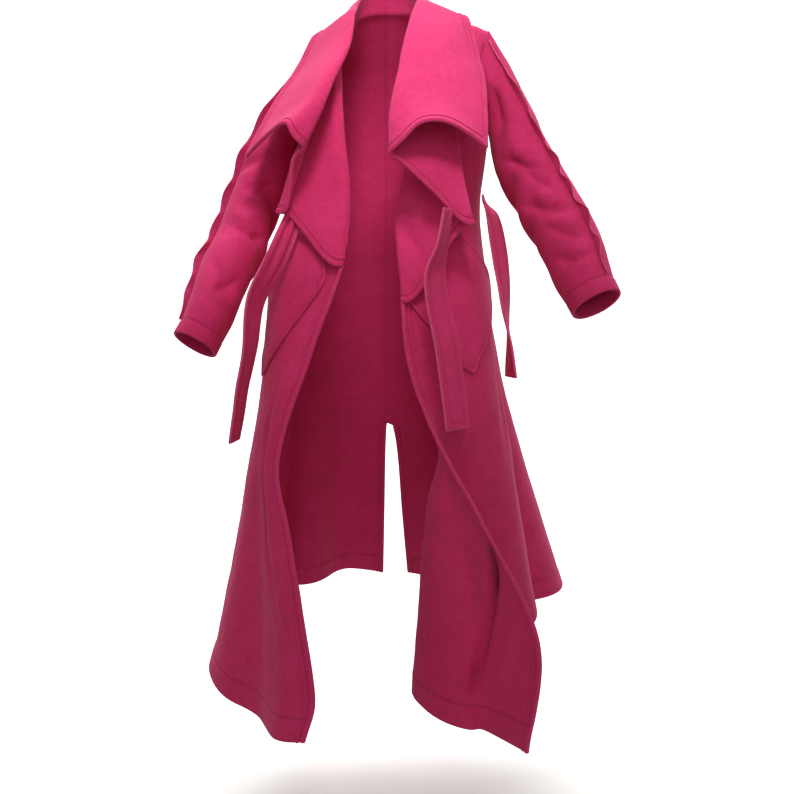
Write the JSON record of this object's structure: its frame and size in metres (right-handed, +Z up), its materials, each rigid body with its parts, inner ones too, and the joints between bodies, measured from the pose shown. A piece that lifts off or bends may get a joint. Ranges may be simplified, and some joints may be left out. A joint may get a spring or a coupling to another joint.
{
  "type": "wool wrap coat",
  "caption": "Long open wrap coat in thick felted wool, with a draped shawl collar, flared skirt with back vent, patch pockets, raised sleeve seams and tie ends",
  "frame": {"origin": "at the base of the neck, in the middle of the neck opening, where the shoulders carry the coat", "axes": "+Z up, the front of the coat faces -Y, the wearer's left is +X"},
  "size_m": [0.7577, 0.7198, 1.2556],
  "materials": {
    "pink_wool": "thick felted wool, matt with a soft nap",
    "pink_wool_trim": "the same felted wool, cut or doubled edges"
  },
  "bodies": {
    "root": {"front_left": "pink_wool", "front_right": "pink_wool", "back_left": "pink_wool", "back_right": "pink_wool", "sleeve_left": "pink_wool", "sleeve_right": "pink_wool", "pocket_left": "pink_wool", "pocket_right": "pink_wool", "sleeve_left_fin_front": "pink_wool_trim", "sleeve_left_fin_back": "pink_wool_trim", "sleeve_right_fin_front": "pink_wool_trim", "sleeve_right_fin_back": "pink_wool_trim", "tie_left_front": "pink_wool_trim", "tie_left_side": "pink_wool_trim", "tie_right": "pink_wool_trim"}
  },
  "joints": []
}
